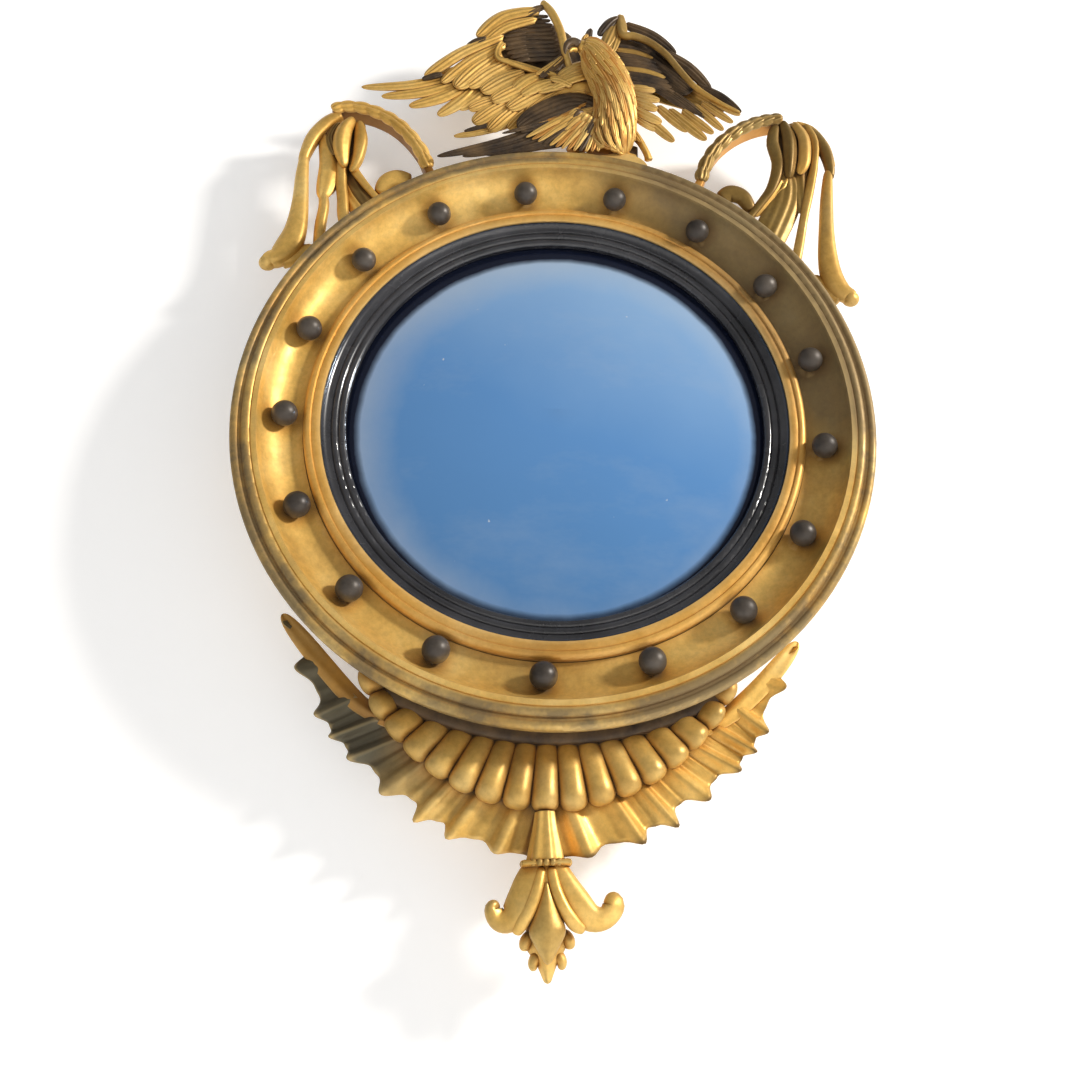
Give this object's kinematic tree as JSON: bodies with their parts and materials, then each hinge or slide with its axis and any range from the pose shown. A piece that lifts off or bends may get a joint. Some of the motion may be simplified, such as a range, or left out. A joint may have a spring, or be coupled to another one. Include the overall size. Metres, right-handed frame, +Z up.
{
  "type": "girandole mirror",
  "caption": "Round convex wall mirror in a gilt frame set with balls, with an eagle crest, leaf scrolls, gadrooned apron and leaf pendant.",
  "frame": {"origin": "the glass's axis where it meets the wall plane, which is the backboard's rear face", "axes": "+X to the right seen from the front, +Y into the wall, +Z up; the front faces -Y"},
  "size_m": [0.682, 0.0967, 1.0975],
  "materials": {
    "gilt_wood": "water gilding, worn",
    "ebonised_wood": "ebonised, polished",
    "bronzed_wood": "bronzed paint, satin",
    "mirror_glass": "silvered, slightly foxed",
    "pine": "raw, aged",
    "brass": "aged",
    "steel": "dull"
  },
  "bodies": {
    "mirror": {"frame_ring": "gilt_wood", "inner_bead_ring": "gilt_wood", "ebonised_slip": "ebonised_wood", "convex_glass": "mirror_glass", "ball_01": "bronzed_wood", "ball_02": "bronzed_wood", "ball_03": "bronzed_wood", "ball_04": "bronzed_wood", "ball_05": "bronzed_wood", "ball_06": "bronzed_wood", "ball_07": "bronzed_wood", "ball_08": "bronzed_wood", "ball_09": "bronzed_wood", "ball_10": "bronzed_wood", "ball_11": "bronzed_wood", "ball_12": "bronzed_wood", "ball_13": "bronzed_wood", "ball_14": "bronzed_wood", "ball_15": "bronzed_wood", "ball_16": "bronzed_wood", "ball_17": "bronzed_wood", "backboard": "pine", "glazing_blocks": "pine", "crest_batten": "pine", "left_scroll_batten": "pine", "right_scroll_batten": "pine", "apron_batten": "pine", "backboard_screws": "steel", "batten_screws": "steel", "hanger_screws": "steel", "eagle_perch": "gilt_wood", "eagle_body": "gilt_wood", "eagle_left_wing": "gilt_wood", "eagle_right_wing": "gilt_wood", "eagle_left_leg": "gilt_wood", "eagle_right_leg": "gilt_wood", "eagle_beak": "bronzed_wood", "eagle_tail": "bronzed_wood", "left_scroll_band": "gilt_wood", "left_scroll_outer_strand": "gilt_wood", "left_scroll_bud": "gilt_wood", "left_scroll_inner_strands": "gilt_wood", "left_scroll_volute": "gilt_wood", "right_scroll_band": "gilt_wood", "right_scroll_outer_strand": "gilt_wood", "right_scroll_bud": "gilt_wood", "right_scroll_inner_strands": "gilt_wood", "right_scroll_volute": "gilt_wood", "gadroon_apron": "gilt_wood", "left_acanthus_leaf": "gilt_wood", "right_acanthus_leaf": "gilt_wood", "pendant_stem": "gilt_wood", "pendant_bud": "gilt_wood", "pendant_left_leaf": "gilt_wood", "pendant_right_leaf": "gilt_wood", "pendant_back_leaf": "gilt_wood", "hanger_strap_left": "brass", "hanger_strap_right": "brass"},
    "left_ring": {"hanger_ring_left": "brass"},
    "right_ring": {"hanger_ring_right": "brass"}
  },
  "joints": [
    {"name": "left_ring_hinge", "type": "hinge", "parent": "mirror", "child": "left_ring", "pos_m": [-0.256, -0.00845, 0.112], "axis": [1, 0, 0], "range_deg": [0, 175]},
    {"name": "right_ring_hinge", "type": "hinge", "parent": "mirror", "child": "right_ring", "pos_m": [0.256, -0.00845, 0.112], "axis": [1, 0, 0], "range_deg": [0, 175]}
  ]
}
